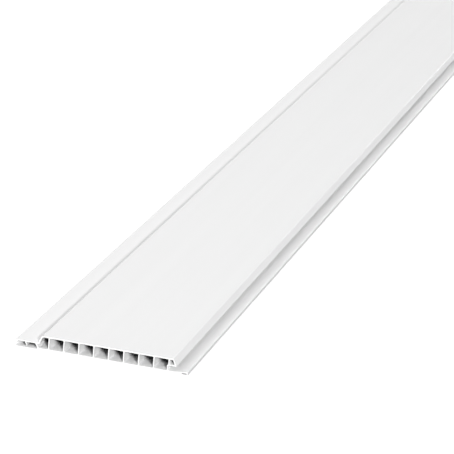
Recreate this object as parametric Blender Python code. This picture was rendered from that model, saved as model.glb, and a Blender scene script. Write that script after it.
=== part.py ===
"""Hollow-core PVC wall panel: one extruded length with a tongue edge and a grooved edge.

The panel lies on its back. X runs across it, from the tongue to the fixing flange, Y runs
along its length and Z runs up to the face that shows on the wall. The origin is on the
back plane, under the middle of the panel.
"""

import math

import bmesh
import bpy
from mathutils import Matrix, Vector

MM = 0.001

# Overall sizes
LENGTH = 2600 * MM
THICKNESS = 10 * MM

# Walls of the extrusion
FACE_WALL = 1.0 * MM
BACK_WALL = 0.9 * MM
WEB_WALL = 0.8 * MM

# Core: upright webs at one pitch, the last of which closes the groove
WEB_PITCH = 10.8 * MM
WEB_COUNT = 9
FIRST_WEB = 7.75 * MM  # chamfer's foot to the middle of the first web

# Steep chamfer along the tongue side of the face
CHAMFER_RUN = 2.4 * MM

# Tongue: a hooked tip, a leaning rib, then a channel that drops over the next panel's flange
TONGUE_REACH = 16.5 * MM  # tip to the chamfer's foot
TONGUE_TOP = 4.5 * MM
TONGUE_WALL = 0.8 * MM
TIP_WALL = 1.2 * MM
TIP_DROP = 2.4 * MM  # tongue's top to the hook's lower edge
TIP_RAKE = 0.3 * MM  # how far the hook leans in over its drop
RIB_PLACE = 7.0 * MM  # tip to the leaning rib, at the tongue's top
RIB_DROP = 3.4 * MM  # tongue's top to the rib's lower edge
RIB_LEAN = 1.2 * MM  # how far the rib leans in over its drop
RIB_WALL = 0.8 * MM
LEG_WALL = 1.0 * MM
LEG_SETBACK = 1.95 * MM  # chamfer's foot back to the leg, at the tongue's top
LEG_LEAN = 2.25 * MM  # how far the leg leans in on its way down to the back plane

# Groove: an overhanging hollow bead above a flat fixing flange
JOINT_CLEARANCE = 0.1 * MM  # between the tongue's top and the bead above it
GROOVE_STEP = 0.8 * MM  # how far the groove's web steps in below the bead
BEAD_WALL = 0.8 * MM
BEAD_FACE = 3.1 * MM  # groove's web to the bead's top edge
BEAD_REACH = 5.6 * MM  # groove's web to the bead's tip
FLANGE_REACH = 13.8 * MM  # groove's web to the flange's outer edge
FLANGE_WALL = 1.0 * MM

# Raised outer edge of the flange, with a channel below it that keeps its wall even
FLANGE_EDGE_WIDTH = 5.2 * MM
FLANGE_EDGE_HEIGHT = 2.0 * MM
FLANGE_CHANNEL_SIDE = 0.9 * MM  # wall on each side of the channel
FLANGE_CHANNEL_HEIGHT = 1.0 * MM

# Rounds that the die leaves
CHAMFER_ROUND = 2.0 * MM  # face into the chamfer
SHOULDER_ROUND = 0.9 * MM  # face into the bead's slope
TIP_ROUND = 1.5 * MM  # lead-in over the tongue's tip
HOOK_ROUND = 0.8 * MM  # inside of the hooked tip
EDGE_ROUND = 0.35 * MM
NOOK_ROUND = 0.3 * MM
CELL_ROUND = 0.5 * MM
ARC_STEPS = 4
ROUND_SHARE = 0.48  # most of a side that the round at one of its ends may take

# Rigid white PVC with a satin skin
PVC_COLOUR = (0.84, 0.84, 0.83, 1)
PVC_ROUGHNESS = 0.35

WELD_DISTANCE = 0.002 * MM
SMOOTH_ANGLE = math.radians(30)

# Places across the section, measured from the tongue's tip
CHAMFER_FOOT = TONGUE_REACH
FACE_START = CHAMFER_FOOT + CHAMFER_RUN
GROOVE_WEB = CHAMFER_FOOT + FIRST_WEB + (WEB_COUNT - 1) * WEB_PITCH
GROOVE_FACE = GROOVE_WEB + WEB_WALL / 2 - GROOVE_STEP
BEAD_TOP = GROOVE_WEB + BEAD_FACE
BEAD_TIP = GROOVE_WEB + BEAD_REACH
FLANGE_END = GROOVE_WEB + FLANGE_REACH
FLANGE_EDGE_START = FLANGE_END - FLANGE_EDGE_WIDTH
FLANGE_CHANNEL_START = FLANGE_EDGE_START + FLANGE_CHANNEL_SIDE
FLANGE_CHANNEL_END = FLANGE_END - FLANGE_CHANNEL_SIDE

# Heights in the section, measured from the back plane
TONGUE_CEILING = TONGUE_TOP - TONGUE_WALL
TIP_BOTTOM = TONGUE_TOP - TIP_DROP
RIB_BOTTOM = TONGUE_TOP - RIB_DROP
CORE_FLOOR = BACK_WALL
CORE_CEILING = THICKNESS - FACE_WALL
BEAD_UNDERSIDE = TONGUE_TOP + JOINT_CLEARANCE


def web_place(index):
    """Middle of an upright web, counted from the tongue side."""
    return CHAMFER_FOOT + FIRST_WEB + index * WEB_PITCH


def level_width(run, rise, wall):
    """Width that a leaning wall of this thickness covers, measured level."""
    return wall * math.hypot(run, rise) / rise


def tip_side(height, depth):
    """One side of the tongue's hooked tip, this deep into its wall from the outside."""
    return depth + TIP_RAKE * (TONGUE_TOP - height) / TIP_DROP


def rib_side(height, side):
    """One side, -1 or 1, of the leaning rib under the tongue."""
    middle = RIB_PLACE + RIB_LEAN * (TONGUE_TOP - height) / RIB_DROP
    return middle + side * level_width(RIB_LEAN, RIB_DROP, RIB_WALL) / 2


def leg_side(height, side):
    """One side, -1 or 1, of the leaning leg that carries the tongue to the back plane."""
    middle = CHAMFER_FOOT - LEG_SETBACK + LEG_LEAN * (TONGUE_TOP - height) / TONGUE_TOP
    return middle + side * level_width(LEG_LEAN, TONGUE_TOP, LEG_WALL) / 2


def chamfer_inside(height):
    """Inside of the chamfer's wall."""
    rise = THICKNESS - TONGUE_TOP
    outside = CHAMFER_FOOT + CHAMFER_RUN * (height - TONGUE_TOP) / rise
    return outside + level_width(CHAMFER_RUN, rise, FACE_WALL)


def bead_inside(height):
    """Inside of the bead's sloping outer wall."""
    run = BEAD_TIP - BEAD_TOP
    rise = THICKNESS - BEAD_UNDERSIDE
    outside = BEAD_TIP - run * (height - BEAD_UNDERSIDE) / rise
    return outside - level_width(run, rise, BEAD_WALL)


def outer_corners():
    """Corners of the section's outside, with their rounds, from the tongue's tip."""
    return [
        (tip_side(TONGUE_TOP, 0), TONGUE_TOP, TIP_ROUND),
        (tip_side(TIP_BOTTOM, 0), TIP_BOTTOM, EDGE_ROUND),
        (tip_side(TIP_BOTTOM, TIP_WALL), TIP_BOTTOM, EDGE_ROUND),
        (tip_side(TONGUE_CEILING, TIP_WALL), TONGUE_CEILING, HOOK_ROUND),
        (rib_side(TONGUE_CEILING, -1), TONGUE_CEILING, NOOK_ROUND),
        (rib_side(RIB_BOTTOM, -1), RIB_BOTTOM, EDGE_ROUND),
        (rib_side(RIB_BOTTOM, 1), RIB_BOTTOM, EDGE_ROUND),
        (rib_side(TONGUE_CEILING, 1), TONGUE_CEILING, NOOK_ROUND),
        (leg_side(TONGUE_CEILING, -1), TONGUE_CEILING, NOOK_ROUND),
        (leg_side(0, -1), 0, EDGE_ROUND),
        (FLANGE_CHANNEL_START, 0, NOOK_ROUND),
        (FLANGE_CHANNEL_START, FLANGE_CHANNEL_HEIGHT, NOOK_ROUND),
        (FLANGE_CHANNEL_END, FLANGE_CHANNEL_HEIGHT, NOOK_ROUND),
        (FLANGE_CHANNEL_END, 0, NOOK_ROUND),
        (FLANGE_END, 0, EDGE_ROUND),
        (FLANGE_END, FLANGE_EDGE_HEIGHT, EDGE_ROUND),
        (FLANGE_EDGE_START, FLANGE_EDGE_HEIGHT, EDGE_ROUND),
        (FLANGE_EDGE_START, FLANGE_WALL, NOOK_ROUND),
        (GROOVE_FACE, FLANGE_WALL, NOOK_ROUND),
        (GROOVE_FACE, BEAD_UNDERSIDE, NOOK_ROUND),
        (BEAD_TIP, BEAD_UNDERSIDE, EDGE_ROUND),
        (BEAD_TOP, THICKNESS, SHOULDER_ROUND),
        (FACE_START, THICKNESS, CHAMFER_ROUND),
        (CHAMFER_FOOT, TONGUE_TOP, NOOK_ROUND),
    ]


def rounded_cell(points):
    """A cell's corners, all with the same round."""
    return [(x, z, CELL_ROUND) for x, z in points]


def chamfer_cell():
    """First cell of the core, between the leg, the chamfer and the first web."""
    half = WEB_WALL / 2
    shoulder = max(CHAMFER_ROUND - FACE_WALL, CELL_ROUND)
    return [
        (leg_side(CORE_FLOOR, 1), CORE_FLOOR, CELL_ROUND),
        (web_place(0) - half, CORE_FLOOR, CELL_ROUND),
        (web_place(0) - half, CORE_CEILING, CELL_ROUND),
        (chamfer_inside(CORE_CEILING), CORE_CEILING, shoulder),
        (chamfer_inside(TONGUE_CEILING), TONGUE_CEILING, CELL_ROUND),
        (leg_side(TONGUE_CEILING, 1), TONGUE_CEILING, CELL_ROUND),
    ]


def core_cells():
    """Plain cells between neighbouring webs, up to the one beside the groove."""
    half = WEB_WALL / 2
    cells = []
    for index in range(WEB_COUNT - 2):
        left = web_place(index) + half
        right = web_place(index + 1) - half
        cells.append(rounded_cell([
            (left, CORE_FLOOR),
            (right, CORE_FLOOR),
            (right, CORE_CEILING),
            (left, CORE_CEILING),
        ]))
    return cells


def groove_cell():
    """Last cell of the core, whose outer web steps in below the bead."""
    half = WEB_WALL / 2
    left = web_place(WEB_COUNT - 2) + half
    return rounded_cell([
        (left, CORE_FLOOR),
        (GROOVE_FACE - WEB_WALL, CORE_FLOOR),
        (GROOVE_FACE - WEB_WALL, BEAD_UNDERSIDE),
        (GROOVE_WEB - half, BEAD_UNDERSIDE + GROOVE_STEP),
        (GROOVE_WEB - half, CORE_CEILING),
        (left, CORE_CEILING),
    ])


def bead_cell():
    """Closed cell inside the bead that overhangs the groove."""
    left = GROOVE_WEB + WEB_WALL / 2
    floor = BEAD_UNDERSIDE + BEAD_WALL
    return rounded_cell([
        (left, floor),
        (bead_inside(floor), floor),
        (bead_inside(CORE_CEILING), CORE_CEILING),
        (left, CORE_CEILING),
    ])


def rounded_path(corners):
    """Points along a closed path whose corners are arcs, each limited by its two sides."""
    path = []
    count = len(corners)
    for index in range(count):
        x, z, radius = corners[index]
        corner = Vector((x, z))
        before = Vector(corners[index - 1][:2]) - corner
        after = Vector(corners[(index + 1) % count][:2]) - corner
        half_angle = before.angle(after) / 2
        room = ROUND_SHARE * min(before.length, after.length)
        tangent = min(radius / math.tan(half_angle), room)
        radius = tangent * math.tan(half_angle)
        middle = (before.normalized() + after.normalized()).normalized()
        centre = corner + middle * radius / math.sin(half_angle)
        start = corner + before.normalized() * tangent - centre
        end = corner + after.normalized() * tangent - centre
        sweep = math.atan2(start.cross(end), start.dot(end))
        for step in range(ARC_STEPS + 1):
            turn = Matrix.Rotation(sweep * step / ARC_STEPS, 2)
            path.append(centre + turn @ start)
    return path


def add_loop(curve, path, middle):
    """Add one closed loop of the section to the curve, measured from the section's middle."""
    spline = curve.splines.new("POLY")
    spline.points.add(len(path) - 1)
    for point, place in zip(spline.points, path):
        point.co = (place.x - middle, place.y, 0, 1)
    spline.use_cyclic_u = True


def section_curve():
    """The whole section as a filled flat curve, extruded to the panel's length."""
    curve = bpy.data.curves.new("panel_section", "CURVE")
    curve.dimensions = "2D"
    curve.fill_mode = "BOTH"
    curve.extrude = LENGTH / 2
    outside = rounded_path(outer_corners())
    left = min(place.x for place in outside)
    middle = (left + FLANGE_END) / 2
    add_loop(curve, outside, middle)
    for cell in (chamfer_cell(), *core_cells(), groove_cell(), bead_cell()):
        add_loop(curve, rounded_path(cell), middle)
    return curve


def white_pvc():
    """Rigid white PVC with the satin skin of an extrusion."""
    material = bpy.data.materials.new("white_pvc")
    material.use_nodes = True
    shader = material.node_tree.nodes["Principled BSDF"]
    shader.inputs["Base Color"].default_value = PVC_COLOUR
    shader.inputs["Roughness"].default_value = PVC_ROUGHNESS
    shader.inputs["Metallic"].default_value = 0
    return material


def make_panel(collection):
    """Turn the extruded curve up onto its back and make it one closed mesh."""
    guide = bpy.data.objects.new("panel_guide", section_curve())
    guide.matrix_world = Matrix.Rotation(math.pi / 2, 4, "X")
    collection.objects.link(guide)
    graph = bpy.context.evaluated_depsgraph_get()
    mesh = bpy.data.meshes.new_from_object(guide.evaluated_get(graph))
    mesh.name = "panel"

    body = bmesh.new()
    body.from_mesh(mesh)
    bmesh.ops.remove_doubles(body, verts=body.verts, dist=WELD_DISTANCE)
    bmesh.ops.recalc_face_normals(body, faces=body.faces)
    body.to_mesh(mesh)
    body.free()
    mesh.materials.clear()
    mesh.materials.append(white_pvc())
    mesh.shade_smooth()
    mesh.set_sharp_from_angle(angle=SMOOTH_ANGLE)

    panel = bpy.data.objects.new("panel", mesh)
    panel.matrix_world = guide.matrix_world
    collection.objects.link(panel)
    bpy.data.objects.remove(guide)
    return panel


def main():
    for item in list(bpy.data.objects):
        bpy.data.objects.remove(item)
    collection = bpy.data.collections.new("pvc_wall_panel")
    bpy.context.scene.collection.children.link(collection)
    make_panel(collection)


main()
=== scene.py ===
"""Looks and studio stage for a white hollow-core PVC wall panel.

The file is laid out as a Blender add-on and is run as a script. Lengths are in metres, in
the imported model's own frame: X across the panel, Y along it, Z up out of its face.
"""
import math

import bmesh
import bpy
from bpy.props import FloatProperty, FloatVectorProperty, IntProperty, PointerProperty
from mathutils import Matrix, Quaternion, Vector


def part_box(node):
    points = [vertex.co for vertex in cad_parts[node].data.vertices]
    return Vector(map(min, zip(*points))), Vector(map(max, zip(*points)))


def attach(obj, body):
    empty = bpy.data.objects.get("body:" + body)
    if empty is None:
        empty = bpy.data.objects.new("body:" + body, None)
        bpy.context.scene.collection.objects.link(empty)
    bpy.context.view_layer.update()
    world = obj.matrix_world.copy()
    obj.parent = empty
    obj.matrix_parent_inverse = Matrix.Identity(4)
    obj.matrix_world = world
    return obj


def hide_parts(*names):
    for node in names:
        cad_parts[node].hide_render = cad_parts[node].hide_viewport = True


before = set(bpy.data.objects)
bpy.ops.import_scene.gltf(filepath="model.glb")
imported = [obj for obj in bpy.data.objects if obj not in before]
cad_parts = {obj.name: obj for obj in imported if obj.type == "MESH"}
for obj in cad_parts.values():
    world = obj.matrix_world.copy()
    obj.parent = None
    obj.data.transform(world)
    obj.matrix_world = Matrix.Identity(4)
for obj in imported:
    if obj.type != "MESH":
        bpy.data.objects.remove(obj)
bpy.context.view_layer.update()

bl_info = {
    "name": "Hollow-core wall panel",
    "version": (1, 0, 0),
    "blender": (4, 5, 0),
    "location": "View3D > Sidebar > Wall panel",
    "description": "Builds the finished skin of an extruded PVC wall panel and a studio stage",
    "category": "Object",
}

CAD_NODE = "panel"
BODY = "root"

MM = 0.001
LOW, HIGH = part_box(CAD_NODE)
LENGTH = HIGH.y - LOW.y
THICKNESS = HIGH.z - LOW.z

# The photograph's frame and camera: sensor and lens in millimetres, angles in degrees
SENSOR_WIDTH = 36.0
CAMERA_LENS = 216.7
CAMERA_AZIMUTH = -14.48
CAMERA_ELEVATION = 17.78
CAMERA_ROLL = 4.70
CAMERA_DISTANCE = 2.143
CAMERA_CLIP_END = 200
AIM_FROM_NEAR_END = 0.2995
AIM_ACROSS = 0.0038

# Points on the face that the lamps are turned to
NEAR_END = Vector((0, LOW.y, THICKNESS))
MIDDLE = Vector((0, 0, THICKNESS))
FAR_END = Vector((0, HIGH.y, THICKNESS))

# Each lamp's name, the point it is turned to, its place from that point, its width and height
LAMPS = (
    ("key", NEAR_END, Vector((4.07, -7.35, 3.23)), 1.2, 0.4),
    ("side", MIDDLE, Vector((-2.6, 0, 1.9)), 4.4, 1.8),
    ("top", MIDDLE, Vector((0, 0, 3)), 1.8, 4.4),
    ("front", NEAR_END, Vector((-2.1, -2.3, 2.5)), 1.2, 1.2),
    ("back", FAR_END, Vector((0.2, 0.9, 0.3)), 0.5, 0.5),
)

# Limits for making the mesh
WELD_DISTANCE = 0.002 * MM      # points closer than this become one
LEVEL_TOLERANCE = 0.001 * MM    # a point this near the face's level lies on the face
LINING_TOLERANCE = 0.05 * MM    # a wall this near a cell's loop is the inside of that cell
END_NORMAL = 0.9                # a surface whose normal has more of Y than this is an end
CELL_LOOP_PITCHES = 6           # a loop shorter than this many web pitches goes round a cell
SHARP_DEGREES = 30              # the surface keeps a hard edge where it turns more than this
FLOOR_GAP = 0.02 * MM           # the floor lies this far below the panel's back

# Patterns that the making leaves, each with its width across and its length along the panel
DIE_BANDS = (9 * MM, 700 * MM)
DIE_LINES = (1.6 * MM, 450 * MM)
SMUDGES = (60 * MM, 90 * MM)
CELL_WAVES = (3 * MM, 25 * MM)

# Other sizes and finishes of the surface
PVC_IOR = 1.53
DIE_LINE_DEPTH = 0.02 * MM
CELL_WAVE_DEPTH = 0.15 * MM
SAW_MARK_SPACING = 2.512 * MM
SAW_MARK_DEPTH = 0.04 * MM
SAW_GRIT = 0.25 * MM
BAND_SHADE = 0.985              # the darkest band, against the skin's own colour
WAVE_SHADE = 0.96               # the darkest wave, against the cells' colour and its painted shade
GLOSSY_SPOT = 0.04              # how much less rough than the rest the glossiest spots are
DULL_SPOT = 0.06                # how much rougher than the rest the dullest spots are
CELL_ROUGHNESS = 0.6
CUT_ROUGHNESS = 0.62
FLOOR_ROUGHNESS = 0.9
NOISE_LOW = 0.3                 # nearly all of a noise lies between this and the next value
NOISE_HIGH = 0.7
CEILING_NORMAL = -0.7           # a cell's wall that faces down this much gets the full painted shade
WALL_NORMAL = -0.3              # one that faces down no more than this gets no painted shade near the mouths


def linear(code):
    """Turn an sRGB hex colour into the linear colour that Blender works in."""
    channels = []
    for start in (0, 2, 4):
        value = int(code[start:start + 2], 16) / 255
        channels.append(value / 12.92 if value <= 0.04045 else ((value + 0.055) / 1.055) ** 2.4)
    return (*channels, 1.0)


def add_node(tree, kind, inputs=None, **settings):
    """Add a node, set its options, and give each input a value or a link."""
    node = tree.nodes.new(kind)
    for name, value in settings.items():
        setattr(node, name, value)
    for key, value in (inputs or {}).items():
        if isinstance(value, bpy.types.NodeSocket):
            tree.links.new(value, node.inputs[key])
        else:
            node.inputs[key].default_value = value
    return node


class PanelSettings(bpy.types.PropertyGroup):
    """Sizes and colours of the panel's surface."""

    skin_colour: FloatVectorProperty(
        name="Skin colour", description="Colour of the extruded white PVC",
        subtype="COLOR", size=4, min=0, max=1, default=linear("F1F1F1"))
    # Painted shade: the grey deep inside the cells and on their ceilings
    cell_painted_shade: FloatVectorProperty(
        name="Cell shade colour", description="Colour of the walls deep inside the hollow cells",
        subtype="COLOR", size=4, min=0, max=1, default=linear("7C7C7C"))
    # The near-white that the cells' walls keep near the mouths, where no shade is painted
    mouth_colour: FloatVectorProperty(
        name="Mouth colour", description="Colour of the saw dust that lines the cells' mouths",
        subtype="COLOR", size=4, min=0, max=1, default=linear("F4F4F4"))
    # How far in from each end the cells' walls keep the near-white before the painted shade comes in
    mouth_depth: FloatProperty(
        name="Mouth depth", description="How deep the dust lies thick in the cells",
        subtype="DISTANCE", unit="LENGTH", default=9 * MM)
    # Distance over which the painted shade in the cells comes in
    shade_fade: FloatProperty(
        name="Shade fade", description="Distance over which the dust then gives out",
        subtype="DISTANCE", unit="LENGTH", default=11 * MM)
    cut_colour: FloatVectorProperty(
        name="Cut colour", description="Colour of the sawn ends",
        subtype="COLOR", size=4, min=0, max=1, default=linear("F8F8F8"))
    skin_roughness: FloatProperty(
        name="Skin roughness", description="Roughness of the satin skin",
        subtype="FACTOR", min=0, max=1, default=0.36)
    web_pitch: FloatProperty(
        name="Web pitch", description="Distance from one inner web to the next",
        subtype="DISTANCE", unit="LENGTH", default=10.8 * MM)
    first_web: FloatProperty(
        name="First web", description="Place of the first web across the panel",
        subtype="DISTANCE", unit="LENGTH", default=-38.05 * MM)
    sink_depth: FloatProperty(
        name="Sink depth", description="Depth of the faint hollow that a web leaves in the face",
        subtype="DISTANCE", unit="LENGTH", default=0.03 * MM)
    sink_width: FloatProperty(
        name="Sink width", description="Distance from a web at which that hollow is a third as deep",
        subtype="DISTANCE", unit="LENGTH", default=1.6 * MM)
    lip_start: FloatProperty(
        name="Lip start", description="Place across the panel where the flange begins to rise",
        subtype="DISTANCE", unit="LENGTH", default=52.5 * MM)
    lip_end: FloatProperty(
        name="Lip end", description="Place where the flange has risen to its outer lip",
        subtype="DISTANCE", unit="LENGTH", default=61.5 * MM)
    flange_wall: FloatProperty(
        name="Flange wall", description="Thickness of the flange where it is thin",
        subtype="DISTANCE", unit="LENGTH", default=1.0 * MM)
    lip_height: FloatProperty(
        name="Lip height", description="Height of the flange's outer lip",
        subtype="DISTANCE", unit="LENGTH", default=2.0 * MM)
    point_spacing: FloatProperty(
        name="Point spacing", description="Longest side of the section's outline that stays whole",
        subtype="DISTANCE", unit="LENGTH", default=0.6 * MM)


class StageSettings(bpy.types.PropertyGroup):
    """Light and background of the studio stage."""

    floor_colour: FloatVectorProperty(
        name="Floor colour", description="Colour of the floor where it is seen",
        subtype="COLOR", size=4, min=0, max=1, default=linear("FFFFFF"))
    # Also the painted shade of the floor where it is seen under the panel
    floor_bounce_and_shade: FloatVectorProperty(
        name="Floor bounce", description="Colour of the light that the floor throws back",
        subtype="COLOR", size=4, min=0, max=1, default=linear("505050"))
    floor_lift: FloatProperty(
        name="Floor lift", description="White added to the floor round the panel where seen",
        subtype="FACTOR", min=0, max=1, default=0.35)
    # Near the panel the added white fades out, so the floor there shows its real shadow and a thin
    # painted shade as well
    contact_edge: FloatProperty(
        name="Contact edge", description="Distance from the panel over which that white comes in",
        subtype="DISTANCE", unit="LENGTH", default=2 * MM)
    white_start: FloatProperty(
        name="White start", description="Distance from the panel at which the floor turns whiter",
        subtype="DISTANCE", unit="LENGTH", default=0.4)
    white_end: FloatProperty(
        name="White end", description="Distance from the panel past which the floor is plain white",
        subtype="DISTANCE", unit="LENGTH", default=2.4)
    # Painted shade: this far in under the panel the seen floor has taken the dark bounce colour
    painted_shade_depth: FloatProperty(
        name="Hidden depth", description="How far in under the panel the floor has gone dark",
        subtype="DISTANCE", unit="LENGTH", default=8.2 * MM)
    painted_shade_fade: FloatProperty(
        name="Hidden fade", description="Distance over which the floor goes dark on the way in",
        subtype="DISTANCE", unit="LENGTH", default=4 * MM)
    sky_strength: FloatProperty(
        name="Sky strength", description="Strength of the even light from all round",
        min=0, max=5, default=0.06)
    key_power: FloatProperty(
        name="Key lamp", description="Power of the far lamp in front, on the flange's side",
        subtype="POWER", unit="POWER", min=0, default=860)
    side_power: FloatProperty(
        name="Side lamp", description="Power of the long lamp on the tongue's side",
        subtype="POWER", unit="POWER", min=0, default=29)
    top_power: FloatProperty(
        name="Top lamp", description="Power of the long lamp straight over the panel",
        subtype="POWER", unit="POWER", min=0, default=36)
    front_power: FloatProperty(
        name="Front lamp", description="Power of the weak lamp in front, on the tongue's side",
        subtype="POWER", unit="POWER", min=0, default=43)
    back_power: FloatProperty(
        name="Back lamp", description="Power of the close lamp behind the far end",
        subtype="POWER", unit="POWER", min=0, default=7)
    floor_radius: FloatProperty(
        name="Floor radius", description="Reach of the floor round the panel",
        subtype="DISTANCE", unit="LENGTH", default=60)
    floor_sides: IntProperty(
        name="Floor sides", description="Sides of the round floor", default=96)


# The materials

def streaks(tree, size, detail=2.0):
    """A noise drawn out along the panel, as a die leaves it, from its real width and length."""
    width, length = size
    coords = add_node(tree, "ShaderNodeTexCoord")
    mapping = add_node(tree, "ShaderNodeMapping", {
        "Vector": coords.outputs["Object"],
        "Scale": (1 / width, 1 / length, 1 / width),
    })
    return add_node(tree, "ShaderNodeTexNoise", {
        "Vector": mapping.outputs["Vector"],
        "Scale": 1.0,
        "Detail": detail,
        "Roughness": 0.5,
    }).outputs["Fac"]


def new_material(name):
    """An empty node material and its Principled shader."""
    material = bpy.data.materials.new(name)
    material.use_nodes = True
    tree = material.node_tree
    return material, tree, tree.nodes["Principled BSDF"]


def extruded_rigid_pvc(settings):
    """White rigid PVC filled with titanium dioxide, drawn through a vacuum sizing die.

    The sizing die leaves a satin skin with faint lines along the panel, and handling dulls
    it here and there, so the gloss wanders a little while the colour hardly does.
    """
    material, tree, shader = new_material("extruded_rigid_pvc")
    tone = add_node(tree, "ShaderNodeMapRange", {
        "Value": streaks(tree, DIE_BANDS),
        "From Min": NOISE_LOW,
        "From Max": NOISE_HIGH,
        "To Min": BAND_SHADE,
        "To Max": 1.0,
    })
    colour = add_node(tree, "ShaderNodeMix", {
        "Factor": 1.0, "A": settings.skin_colour, "B": tone.outputs["Result"]},
        data_type="RGBA", blend_type="MULTIPLY")
    gloss = add_node(tree, "ShaderNodeMapRange", {
        "Value": streaks(tree, SMUDGES, detail=4.0),
        "From Min": NOISE_LOW,
        "From Max": NOISE_HIGH,
        "To Min": settings.skin_roughness - GLOSSY_SPOT,
        "To Max": settings.skin_roughness + DULL_SPOT,
    })
    bump = add_node(tree, "ShaderNodeBump", {
        "Height": streaks(tree, DIE_LINES, detail=3.0),
        "Strength": 0.25,
        "Distance": DIE_LINE_DEPTH,
    })
    tree.links.new(colour.outputs["Result"], shader.inputs["Base Color"])
    tree.links.new(gloss.outputs["Result"], shader.inputs["Roughness"])
    tree.links.new(bump.outputs["Normal"], shader.inputs["Normal"])
    shader.inputs["IOR"].default_value = PVC_IOR
    return material


def cell_shade_mask(tree, settings):
    """How much a cell's wall is spared the painted shade: 1 in the mouths, but 0 on ceilings and
    deep in.
    """
    coords = add_node(tree, "ShaderNodeTexCoord")
    place = add_node(tree, "ShaderNodeSeparateXYZ", {"Vector": coords.outputs["Object"]})
    from_middle = add_node(tree, "ShaderNodeMath", {0: place.outputs["Y"]}, operation="ABSOLUTE")
    shade_start = LENGTH / 2 - settings.mouth_depth
    near_mouth = add_node(tree, "ShaderNodeMapRange", {
        "Value": from_middle.outputs["Value"],
        "From Min": shade_start - settings.shade_fade,
        "From Max": shade_start,
    }, interpolation_type="SMOOTHSTEP")
    facing = add_node(tree, "ShaderNodeSeparateXYZ", {"Vector": coords.outputs["Normal"]})
    not_ceiling = add_node(tree, "ShaderNodeMapRange", {
        "Value": facing.outputs["Z"], "From Min": CEILING_NORMAL, "From Max": WALL_NORMAL})
    return add_node(tree, "ShaderNodeMath", {
        0: near_mouth.outputs["Result"], 1: not_ceiling.outputs["Result"],
    }, operation="MULTIPLY").outputs["Value"]


def unsized_pvc(settings):
    """The same PVC inside the cells, where it never touches the sizing die.

    It sets in still air against nothing, so it stays matt and wavy along the cell. It is
    drawn greyer than the skin, as the cells look in the photograph: this grey is painted shade
    deep in the cells and on their ceilings, while near both mouths the other walls keep a
    near-white.
    """
    material, tree, shader = new_material("unsized_pvc")
    # Painted shade: grey deep in the cells and on ceilings, near-white near the mouths
    shaded_colour = add_node(tree, "ShaderNodeMix", {
        "Factor": cell_shade_mask(tree, settings),
        "A": settings.cell_painted_shade,
        "B": settings.mouth_colour,
    }, data_type="RGBA")
    waves = streaks(tree, CELL_WAVES)
    tone = add_node(tree, "ShaderNodeMapRange", {
        "Value": waves,
        "From Min": NOISE_LOW,
        "From Max": NOISE_HIGH,
        "To Min": WAVE_SHADE,
        "To Max": 1.0,
    })
    colour = add_node(tree, "ShaderNodeMix", {
        "Factor": 1.0, "A": shaded_colour.outputs["Result"], "B": tone.outputs["Result"]},
        data_type="RGBA", blend_type="MULTIPLY")
    bump = add_node(tree, "ShaderNodeBump", {
        "Height": waves, "Strength": 0.3, "Distance": CELL_WAVE_DEPTH})
    tree.links.new(colour.outputs["Result"], shader.inputs["Base Color"])
    tree.links.new(bump.outputs["Normal"], shader.inputs["Normal"])
    shader.inputs["Roughness"].default_value = CELL_ROUGHNESS
    shader.inputs["IOR"].default_value = PVC_IOR
    return material


def sawn_pvc(settings):
    """The same PVC cut across with a fine circular saw.

    The teeth leave a matt, slightly whiter face with shallow marks that lean across it.
    """
    material, tree, shader = new_material("sawn_pvc")
    coords = add_node(tree, "ShaderNodeTexCoord")
    # A diagonal wave repeats each time that ten times the scaled X + Z grows by a full turn.
    # Its marks lean at 45 degrees across the end, so they lie closer by the root of two
    marks = add_node(tree, "ShaderNodeTexWave", {
        "Vector": coords.outputs["Object"],
        "Scale": 2 * math.pi / (10 * math.sqrt(2) * SAW_MARK_SPACING),
        "Distortion": 2.5,
        "Detail": 2.0,
        "Detail Scale": 1.5,
    }, wave_type="BANDS", bands_direction="DIAGONAL", wave_profile="SIN")
    grit = add_node(tree, "ShaderNodeTexNoise", {
        "Vector": coords.outputs["Object"], "Scale": 1 / SAW_GRIT, "Detail": 3.0})
    height = add_node(tree, "ShaderNodeMath", {
        0: marks.outputs["Fac"], 1: grit.outputs["Fac"]}, operation="ADD")
    bump = add_node(tree, "ShaderNodeBump", {
        "Height": height.outputs["Value"], "Strength": 0.35, "Distance": SAW_MARK_DEPTH})
    tree.links.new(bump.outputs["Normal"], shader.inputs["Normal"])
    shader.inputs["Base Color"].default_value = settings.cut_colour
    shader.inputs["Roughness"].default_value = CUT_ROUGHNESS
    shader.inputs["IOR"].default_value = PVC_IOR
    return material


# The panel

def end_outline(node):
    """The loops round the CAD panel's near end, laid flat: X stays X, and height becomes Y."""
    body = bmesh.new()
    body.from_mesh(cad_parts[node].data)
    bmesh.ops.remove_doubles(body, verts=body.verts, dist=WELD_DISTANCE)
    body.normal_update()
    end_faces = {face for face in body.faces if face.normal.y < -END_NORMAL}
    loops = bmesh.new()
    placed = {}
    for edge in body.edges:
        if len(end_faces.intersection(edge.link_faces)) != 1:
            continue
        ends = []
        for vertex in edge.verts:
            if vertex.index not in placed:
                placed[vertex.index] = loops.verts.new((vertex.co.x, vertex.co.z, 0))
            ends.append(placed[vertex.index])
        loops.edges.new(ends)
    mesh = bpy.data.meshes.new("end_outline")
    loops.to_mesh(mesh)
    loops.free()
    body.free()
    return mesh


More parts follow.
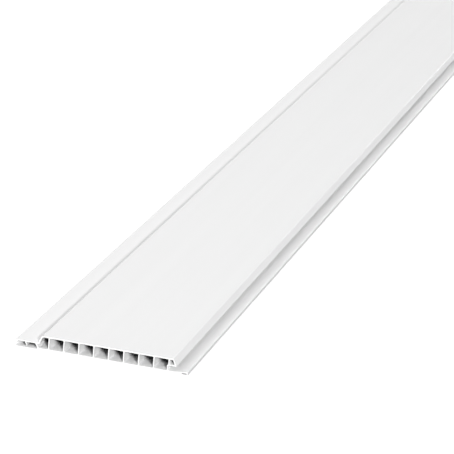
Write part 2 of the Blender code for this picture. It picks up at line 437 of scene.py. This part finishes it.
def name_inputs(tree):
    """Give the tree its inputs and its output, and return the inputs as sockets within it."""
    for name, kind in (
        ("Outline", "NodeSocketGeometry"),
        ("Length", "NodeSocketFloat"),
        ("Thickness", "NodeSocketFloat"),
        ("Web Pitch", "NodeSocketFloat"),
        ("First Web", "NodeSocketFloat"),
        ("Sink Depth", "NodeSocketFloat"),
        ("Sink Width", "NodeSocketFloat"),
        ("Lip Start", "NodeSocketFloat"),
        ("Lip End", "NodeSocketFloat"),
        ("Flange Wall", "NodeSocketFloat"),
        ("Lip Height", "NodeSocketFloat"),
        ("Point Spacing", "NodeSocketFloat"),
        ("Longest Cell Loop", "NodeSocketFloat"),
        ("Skin", "NodeSocketMaterial"),
        ("Cell Skin", "NodeSocketMaterial"),
        ("Cut", "NodeSocketMaterial"),
    ):
        tree.interface.new_socket(name, in_out="INPUT", socket_type=kind)
    tree.interface.new_socket("Panel", in_out="OUTPUT", socket_type="NodeSocketGeometry")
    return add_node(tree, "NodeGroupInput").outputs


def divide_sides(tree, given, place):
    """The outline as curves, with sides longer than the point spacing divided."""
    curve = add_node(tree, "GeometryNodeMeshToCurve", {"Mesh": given["Outline"]})
    following = add_node(tree, "GeometryNodeOffsetPointInCurve", {"Offset": 1})
    next_place = add_node(tree, "GeometryNodeFieldAtIndex", {
        "Index": following.outputs["Point Index"], "Value": place},
        data_type="FLOAT_VECTOR", domain="POINT")
    side = add_node(tree, "ShaderNodeVectorMath", {
        0: place, 1: next_place.outputs["Value"]}, operation="DISTANCE")
    cuts = add_node(tree, "ShaderNodeMath", {
        0: side.outputs["Value"], 1: given["Point Spacing"]}, operation="DIVIDE")
    return add_node(tree, "GeometryNodeSubdivideCurve", {
        "Curve": curve.outputs["Curve"], "Cuts": cuts.outputs["Value"]}).outputs["Curve"]


def sink_over_webs(tree, given, parts, curve):
    """The outline with its face sunk over each web, by a bell that repeats at the web pitch."""
    half_pitch = add_node(tree, "ShaderNodeMath", {
        0: given["Web Pitch"], 1: 2.0}, operation="DIVIDE").outputs["Value"]
    minus_half = add_node(tree, "ShaderNodeMath", {
        0: half_pitch, 1: -1.0}, operation="MULTIPLY").outputs["Value"]
    from_web = add_node(tree, "ShaderNodeMath", {
        0: parts["X"], 1: given["First Web"]}, operation="SUBTRACT")
    aside = add_node(tree, "ShaderNodeMath", {
        0: from_web.outputs["Value"], 1: half_pitch, 2: minus_half}, operation="WRAP")
    share = add_node(tree, "ShaderNodeMath", {
        0: aside.outputs["Value"], 1: given["Sink Width"]}, operation="DIVIDE").outputs["Value"]
    square = add_node(tree, "ShaderNodeMath", {0: share, 1: share}, operation="MULTIPLY")
    fall = add_node(tree, "ShaderNodeMath", {
        0: square.outputs["Value"], 1: -1.0}, operation="MULTIPLY")
    bell = add_node(tree, "ShaderNodeMath", {0: fall.outputs["Value"]}, operation="EXPONENT")
    sink = add_node(tree, "ShaderNodeMath", {
        0: bell.outputs["Value"], 1: given["Sink Depth"]}, operation="MULTIPLY")
    down = add_node(tree, "ShaderNodeMath", {
        0: sink.outputs["Value"], 1: -1.0}, operation="MULTIPLY")
    shift = add_node(tree, "ShaderNodeCombineXYZ", {"Y": down.outputs["Value"]})
    face_level = add_node(tree, "ShaderNodeMath", {
        0: given["Thickness"], 1: LEVEL_TOLERANCE}, operation="SUBTRACT")
    on_face = add_node(tree, "FunctionNodeCompare", {
        "A": parts["Y"], "B": face_level.outputs["Value"]},
        data_type="FLOAT", operation="GREATER_EQUAL")
    return add_node(tree, "GeometryNodeSetPosition", {
        "Geometry": curve,
        "Selection": on_face.outputs["Result"],
        "Offset": shift.outputs["Vector"],
    }).outputs["Geometry"]


def slope_flange(tree, given, parts, curve):
    """The outline with the flange's top risen to its lip in one even slope.

    The CAD model has a step there. Only points within half the step's height of the slope
    move, so the flange's underside stays where it is.
    """
    slope = add_node(tree, "ShaderNodeMapRange", {
        "Value": parts["X"],
        "From Min": given["Lip Start"],
        "From Max": given["Lip End"],
        "To Min": given["Flange Wall"],
        "To Max": given["Lip Height"],
    })
    past_start = add_node(tree, "FunctionNodeCompare", {
        "A": parts["X"], "B": given["Lip Start"]}, data_type="FLOAT", operation="GREATER_THAN")
    before_end = add_node(tree, "FunctionNodeCompare", {
        "A": parts["X"], "B": given["Lip End"]}, data_type="FLOAT", operation="LESS_THAN")
    on_slope = add_node(tree, "FunctionNodeBooleanMath", {
        0: past_start.outputs["Result"], 1: before_end.outputs["Result"]}, operation="AND")
    rise = add_node(tree, "ShaderNodeMath", {
        0: slope.outputs["Result"], 1: parts["Y"]}, operation="SUBTRACT")
    step = add_node(tree, "ShaderNodeMath", {
        0: given["Lip Height"], 1: given["Flange Wall"]}, operation="SUBTRACT")
    most_rise = add_node(tree, "ShaderNodeMath", {
        0: step.outputs["Value"], 1: 2.0}, operation="DIVIDE")
    on_top = add_node(tree, "FunctionNodeCompare", {
        "A": rise.outputs["Value"], "B": 0.0, "Epsilon": most_rise.outputs["Value"]},
        data_type="FLOAT", operation="EQUAL")
    flange_top = add_node(tree, "FunctionNodeBooleanMath", {
        0: on_slope.outputs["Boolean"], 1: on_top.outputs["Result"]}, operation="AND")
    up = add_node(tree, "ShaderNodeCombineXYZ", {"Y": rise.outputs["Value"]})
    return add_node(tree, "GeometryNodeSetPosition", {
        "Geometry": curve,
        "Selection": flange_top.outputs["Boolean"],
        "Offset": up.outputs["Vector"],
    }).outputs["Geometry"]


def draw_out(tree, given, curve):
    """The outline filled, drawn out along the length, and closed at both ends."""
    cap = add_node(tree, "GeometryNodeFillCurve", {"Curve": curve}).outputs["Mesh"]
    drawn = add_node(tree, "GeometryNodeExtrudeMesh", {
        "Mesh": cap,
        "Offset": (0.0, 0.0, 1.0),
        "Offset Scale": given["Length"],
        "Individual": False,
    }, mode="FACES")
    other_end = add_node(tree, "GeometryNodeFlipFaces", {"Mesh": cap})
    both = add_node(tree, "GeometryNodeJoinGeometry")
    tree.links.new(drawn.outputs["Mesh"], both.inputs["Geometry"])
    tree.links.new(other_end.outputs["Mesh"], both.inputs["Geometry"])
    return add_node(tree, "GeometryNodeMergeByDistance", {
        "Geometry": both.outputs["Geometry"], "Distance": WELD_DISTANCE}).outputs["Geometry"]


def line_cells(tree, given, parts, curve, solid):
    """The solid in its skin, with the cells' finish and its painted shade on walls that lie on short
    loops.
    """
    loop_length = add_node(tree, "GeometryNodeSplineLength").outputs["Length"]
    is_cell = add_node(tree, "FunctionNodeCompare", {
        "A": loop_length, "B": given["Longest Cell Loop"]},
        data_type="FLOAT", operation="LESS_THAN")
    cells = add_node(tree, "GeometryNodeSeparateGeometry", {
        "Geometry": curve, "Selection": is_cell.outputs["Result"]}, domain="CURVE")
    cell_edges = add_node(tree, "GeometryNodeCurveToMesh", {
        "Curve": cells.outputs["Selection"]})
    flat_place = add_node(tree, "ShaderNodeCombineXYZ", {"X": parts["X"], "Y": parts["Y"]})
    to_cell = add_node(tree, "GeometryNodeProximity", {
        "Geometry": cell_edges.outputs["Mesh"], "Sample Position": flat_place.outputs["Vector"]},
        target_element="EDGES")
    in_cell = add_node(tree, "FunctionNodeCompare", {
        "A": to_cell.outputs["Distance"], "B": LINING_TOLERANCE},
        data_type="FLOAT", operation="LESS_THAN")
    skinned = add_node(tree, "GeometryNodeSetMaterial", {
        "Geometry": solid, "Material": given["Skin"]})
    return add_node(tree, "GeometryNodeSetMaterial", {
        "Geometry": skinned.outputs["Geometry"],
        "Selection": in_cell.outputs["Result"],
        "Material": given["Cell Skin"],
    }).outputs["Geometry"]


def lay_along(tree, given, solid):
    """The panel laid along Y, with half its length on each side of the origin."""
    half_length = add_node(tree, "ShaderNodeMath", {
        0: given["Length"], 1: 2.0}, operation="DIVIDE")
    centre = add_node(tree, "ShaderNodeCombineXYZ", {"Y": half_length.outputs["Value"]})
    return add_node(tree, "GeometryNodeTransform", {
        "Geometry": solid,
        "Translation": centre.outputs["Vector"],
        "Rotation": (math.pi / 2, 0.0, 0.0),
    }).outputs["Geometry"]


def finish_ends(tree, given, panel):
    """The panel as plain geometry, with the sawn finish on both ends."""
    real = add_node(tree, "GeometryNodeRealizeInstances", {"Geometry": panel})
    normal = add_node(tree, "GeometryNodeInputNormal")
    heading = add_node(tree, "ShaderNodeSeparateXYZ", {"Vector": normal.outputs["Normal"]})
    endwise = add_node(tree, "ShaderNodeMath", {0: heading.outputs["Y"]}, operation="ABSOLUTE")
    on_end = add_node(tree, "FunctionNodeCompare", {
        "A": endwise.outputs["Value"], "B": END_NORMAL},
        data_type="FLOAT", operation="GREATER_THAN")
    return add_node(tree, "GeometryNodeSetMaterial", {
        "Geometry": real.outputs["Geometry"],
        "Selection": on_end.outputs["Result"],
        "Material": given["Cut"],
    }).outputs["Geometry"]


def extrusion_tree():
    """Geometry Nodes that draw a flat outline out into the finished panel."""
    tree = bpy.data.node_groups.new("extruded_panel", "GeometryNodeTree")
    given = name_inputs(tree)
    place = add_node(tree, "GeometryNodeInputPosition").outputs["Position"]
    parts = add_node(tree, "ShaderNodeSeparateXYZ", {"Vector": place}).outputs
    outline = divide_sides(tree, given, place)
    outline = sink_over_webs(tree, given, parts, outline)
    outline = slope_flange(tree, given, parts, outline)
    panel = draw_out(tree, given, outline)
    panel = line_cells(tree, given, parts, outline, panel)
    panel = lay_along(tree, given, panel)
    add_node(tree, "NodeGroupOutput", {"Panel": finish_ends(tree, given, panel)})
    return tree


def set_inputs(modifier, values):
    """Give a Geometry Nodes modifier its inputs by each socket's own identifier."""
    sockets = {item.name: item for item in modifier.node_group.interface.items_tree
               if item.in_out == "INPUT"}
    for name, value in values.items():
        modifier[sockets[name].identifier] = value


class WALLPANEL_OT_panel(bpy.types.Operator):
    """Make the panel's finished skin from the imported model's own section"""

    bl_idname = "wall_panel.panel"
    bl_label = "Wall panel"

    def execute(self, context):
        settings = context.scene.wall_panel
        guide = bpy.data.objects.new("panel_outline", end_outline(CAD_NODE))
        context.scene.collection.objects.link(guide)
        modifier = guide.modifiers.new("extrusion", "NODES")
        modifier.node_group = extrusion_tree()
        set_inputs(modifier, {
            "Length": LENGTH,
            "Thickness": THICKNESS,
            "Web Pitch": settings.web_pitch,
            "First Web": settings.first_web,
            "Sink Depth": settings.sink_depth,
            "Sink Width": settings.sink_width,
            "Lip Start": settings.lip_start,
            "Lip End": settings.lip_end,
            "Flange Wall": settings.flange_wall,
            "Lip Height": settings.lip_height,
            "Point Spacing": settings.point_spacing,
            "Longest Cell Loop": CELL_LOOP_PITCHES * settings.web_pitch,
            "Skin": extruded_rigid_pvc(settings),
            "Cell Skin": unsized_pvc(settings),
            "Cut": sawn_pvc(settings),
        })
        graph = context.evaluated_depsgraph_get()
        mesh = bpy.data.meshes.new_from_object(guide.evaluated_get(graph))
        bpy.data.objects.remove(guide)
        if not mesh.polygons:
            raise RuntimeError("The panel's section could not be filled")
        mesh.name = "wall_panel"
        mesh.shade_smooth()
        mesh.set_sharp_from_angle(angle=math.radians(SHARP_DEGREES))
        panel = bpy.data.objects.new("wall_panel", mesh)
        context.scene.collection.objects.link(panel)
        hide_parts(CAD_NODE)
        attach(panel, BODY)
        return {"FINISHED"}


# The studio stage

def seen_ray(tree):
    """1 for a ray that shows the background: straight, mirrored or through something clear."""
    path = add_node(tree, "ShaderNodeLightPath")
    mirrored = add_node(tree, "ShaderNodeMath", {
        0: path.outputs["Is Camera Ray"], 1: path.outputs["Is Glossy Ray"]}, operation="MAXIMUM")
    return add_node(tree, "ShaderNodeMath", {
        0: mirrored.outputs["Value"], 1: path.outputs["Is Transmission Ray"],
    }, operation="MAXIMUM").outputs["Value"]


def open_floor(tree, seen, start, end):
    """A share of what is seen that grows from 0 to 1 between two distances off the panel."""
    coords = add_node(tree, "ShaderNodeTexCoord")
    place = add_node(tree, "ShaderNodeSeparateXYZ", {"Vector": coords.outputs["Object"]})
    outside = []
    for axis, reach in (("X", HIGH.x), ("Y", HIGH.y)):
        aside = add_node(tree, "ShaderNodeMath", {0: place.outputs[axis]}, operation="ABSOLUTE")
        outside.append(add_node(tree, "ShaderNodeMapRange", {
            "Value": aside.outputs["Value"],
            "From Min": reach + start,
            "From Max": reach + end,
        }).outputs["Result"])
    share = add_node(tree, "ShaderNodeMath", {0: outside[0], 1: outside[1]}, operation="MAXIMUM")
    return add_node(tree, "ShaderNodeMath", {
        0: seen, 1: share.outputs["Value"]}, operation="MULTIPLY").outputs["Value"]


def pale_floor(settings):
    """Matt white sweep that photographs as plain white and still takes the panel's shadow.

    The white that is added to it grows with the distance and stops at the panel, so close to the
    panel the floor shows its real shadow and a little painted shade too. Under the panel the seen
    floor is painted the dark bounce colour, a painted shade that keeps it dark in the channels that
    are open below.
    """
    material, tree, shader = new_material("pale_floor")
    shader.inputs["Roughness"].default_value = FLOOR_ROUGHNESS
    seen = seen_ray(tree)
    # Painted shade: the floor seen under the panel takes the dark bounce colour
    colour = add_node(tree, "ShaderNodeMix", {
        "Factor": open_floor(
            tree, seen, -settings.painted_shade_depth, settings.painted_shade_fade - settings.painted_shade_depth),
        "A": settings.floor_bounce_and_shade,
        "B": settings.floor_colour,
    }, data_type="RGBA")
    tree.links.new(colour.outputs["Result"], shader.inputs["Base Color"])
    # Partly real shadow, partly painted shade: no white is added right next to the panel
    near_lift = add_node(tree, "ShaderNodeMath", {
        0: open_floor(tree, seen, 0.0, settings.contact_edge),
        1: settings.floor_lift,
    }, operation="MULTIPLY")
    lift = add_node(tree, "ShaderNodeMath", {
        0: open_floor(tree, seen, settings.white_start, settings.white_end),
        1: 1 - settings.floor_lift,
        2: near_lift.outputs["Value"],
    }, operation="MULTIPLY_ADD")
    shader.inputs["Emission Color"].default_value = linear("FFFFFF")
    tree.links.new(lift.outputs["Value"], shader.inputs["Emission Strength"])
    return material


def add_floor(context, settings):
    """A wide round floor just below the panel's back."""
    disc = bmesh.new()
    bmesh.ops.create_circle(
        disc, cap_ends=True, segments=settings.floor_sides, radius=settings.floor_radius)
    mesh = bpy.data.meshes.new("floor")
    disc.to_mesh(mesh)
    disc.free()
    mesh.materials.append(pale_floor(settings))
    floor = bpy.data.objects.new("floor", mesh)
    floor.location.z = LOW.z - FLOOR_GAP
    context.scene.collection.objects.link(floor)


def add_sky(context, settings):
    """Even studio light from all round, plain white where it is seen past the floor."""
    world = bpy.data.worlds.new("studio")
    context.scene.world = world
    world.use_nodes = True
    tree = world.node_tree
    background = tree.nodes["Background"]
    background.inputs["Color"].default_value = linear("FFFFFF")
    strength = add_node(tree, "ShaderNodeMapRange", {
        "Value": seen_ray(tree),
        "To Min": settings.sky_strength,
        "To Max": 1.0,
    })
    tree.links.new(strength.outputs["Result"], background.inputs["Strength"])


def add_lamp(context, name, place, aim, width, height, power):
    """One oblong soft lamp, turned to a point and out of the camera's sight."""
    lamp = bpy.data.lights.new(name, "AREA")
    lamp.shape = "RECTANGLE"
    lamp.size = width
    lamp.size_y = height
    lamp.energy = power
    holder = bpy.data.objects.new(name, lamp)
    holder.location = place
    holder.rotation_mode = "QUATERNION"
    holder.rotation_quaternion = (aim - place).to_track_quat("-Z", "Y")
    holder.visible_camera = False
    context.scene.collection.objects.link(holder)


def add_camera(context):
    """The photograph's view: a long lens, low over the near end, turned a little."""
    azimuth = math.radians(CAMERA_AZIMUTH)
    elevation = math.radians(CAMERA_ELEVATION)
    aim = Vector((AIM_ACROSS, LOW.y + AIM_FROM_NEAR_END, HIGH.z))
    back = Vector((
        -math.sin(azimuth) * math.cos(elevation),
        -math.cos(azimuth) * math.cos(elevation),
        math.sin(elevation),
    ))
    data = bpy.data.cameras.new("camera")
    data.sensor_width = SENSOR_WIDTH
    data.lens = CAMERA_LENS
    data.clip_end = CAMERA_CLIP_END
    camera = bpy.data.objects.new("camera", data)
    camera.location = aim + back * CAMERA_DISTANCE
    camera.rotation_mode = "QUATERNION"
    roll = Quaternion((0, 0, 1), math.radians(CAMERA_ROLL))
    camera.rotation_quaternion = (-back).to_track_quat("-Z", "Y") @ roll
    context.scene.collection.objects.link(camera)
    context.scene.camera = camera


class WALLPANEL_OT_stage(bpy.types.Operator):
    """Make the floor, the lamps, the sky and the camera"""

    bl_idname = "wall_panel.stage"
    bl_label = "Studio stage"

    def execute(self, context):
        settings = context.scene.wall_panel_stage
        add_floor(context, settings)
        add_sky(context, settings)
        for name, aim, offset, width, height in LAMPS:
            power = getattr(settings, f"{name}_power")
            add_lamp(context, name, aim + offset, aim, width, height, power)
        add_camera(context)
        context.scene.view_settings.view_transform = "Standard"
        return {"FINISHED"}


# The sidebar and the start

class WALLPANEL_PT_sidebar(bpy.types.Panel):
    """Lists the settings of the panel and its stage, each with the operator that makes it"""

    bl_label = "Wall panel"
    bl_idname = "WALLPANEL_PT_sidebar"
    bl_space_type = "VIEW_3D"
    bl_region_type = "UI"
    bl_category = "Wall panel"

    def draw(self, context):
        for settings, operator in (
            (context.scene.wall_panel, WALLPANEL_OT_panel),
            (context.scene.wall_panel_stage, WALLPANEL_OT_stage),
        ):
            box = self.layout.box()
            for name in settings.__annotations__:
                box.prop(settings, name)
            box.operator(operator.bl_idname)


CLASSES = (
    PanelSettings,
    StageSettings,
    WALLPANEL_OT_panel,
    WALLPANEL_OT_stage,
    WALLPANEL_PT_sidebar,
)


def register():
    """Register the classes and hang their settings on the scene."""
    for cls in CLASSES:
        bpy.utils.register_class(cls)
    bpy.types.Scene.wall_panel = PointerProperty(type=PanelSettings)
    bpy.types.Scene.wall_panel_stage = PointerProperty(type=StageSettings)


def unregister():
    """Take the settings off the scene and the classes out again."""
    del bpy.types.Scene.wall_panel_stage
    del bpy.types.Scene.wall_panel
    for cls in reversed(CLASSES):
        bpy.utils.unregister_class(cls)


def main():
    """Make the panel and its stage."""
    register()
    bpy.ops.wall_panel.panel()
    bpy.ops.wall_panel.stage()


if __name__ == "__main__":
    main()
